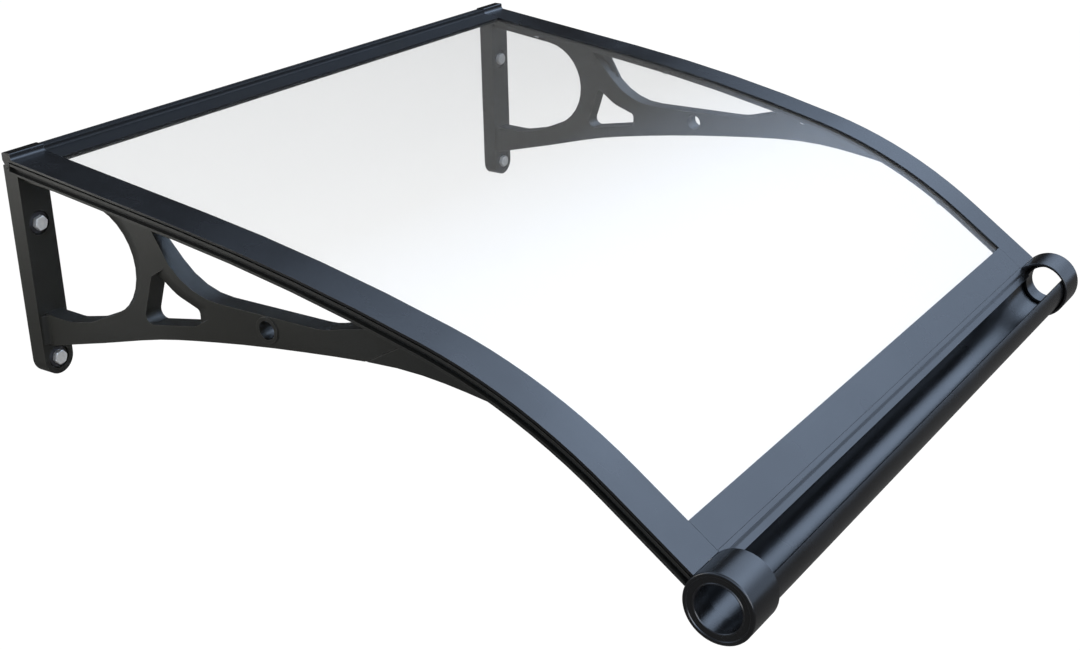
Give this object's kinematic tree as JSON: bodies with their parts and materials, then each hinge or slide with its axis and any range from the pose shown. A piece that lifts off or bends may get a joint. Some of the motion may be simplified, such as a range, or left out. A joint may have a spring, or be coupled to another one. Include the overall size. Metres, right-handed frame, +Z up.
{
  "type": "door canopy",
  "caption": "Small wall-mounted door canopy: a clear curved sheet clamped in black strips on two pierced brackets, with a round gutter along its front edge.",
  "frame": {"origin": "centre of the rear rail's flat back face, on the wall", "axes": "+X along the wall, to the right for someone who faces the wall; +Y into the wall, so the canopy reaches out to -Y; +Z up"},
  "size_m": [0.804, 0.7879, 0.2732],
  "materials": {
    "black_casting": "satin black",
    "black_strip": "satin black",
    "clear_sheet": "clear, glossy",
    "black_rubber": "matt",
    "zinc_steel": "zinc plated"
  },
  "bodies": {
    "root": {"rear_rail": "black_strip", "canopy_sheet": "clear_sheet", "front_cover": "black_strip", "gutter": "black_strip", "rear_seal": "black_rubber", "front_seal": "black_rubber", "bracket_left": "black_casting", "side_cover_left": "black_strip", "gutter_cap_left": "black_strip", "side_seal_left": "black_rubber", "wall_bolt_upper_left": "zinc_steel", "washer_upper_left": "zinc_steel", "wall_bolt_lower_left": "zinc_steel", "washer_lower_left": "zinc_steel", "side_screw_left_1": "zinc_steel", "side_screw_left_2": "zinc_steel", "side_screw_left_3": "zinc_steel", "side_screw_left_4": "zinc_steel", "bracket_right": "black_casting", "side_cover_right": "black_strip", "gutter_cap_right": "black_strip", "side_seal_right": "black_rubber", "wall_bolt_upper_right": "zinc_steel", "washer_upper_right": "zinc_steel", "wall_bolt_lower_right": "zinc_steel", "washer_lower_right": "zinc_steel", "side_screw_right_1": "zinc_steel", "side_screw_right_2": "zinc_steel", "side_screw_right_3": "zinc_steel", "side_screw_right_4": "zinc_steel", "rear_screw_1": "zinc_steel", "front_screw_1": "zinc_steel", "rear_screw_2": "zinc_steel", "front_screw_2": "zinc_steel", "rear_screw_3": "zinc_steel", "front_screw_3": "zinc_steel", "rear_screw_4": "zinc_steel", "front_screw_4": "zinc_steel"}
  },
  "joints": []
}
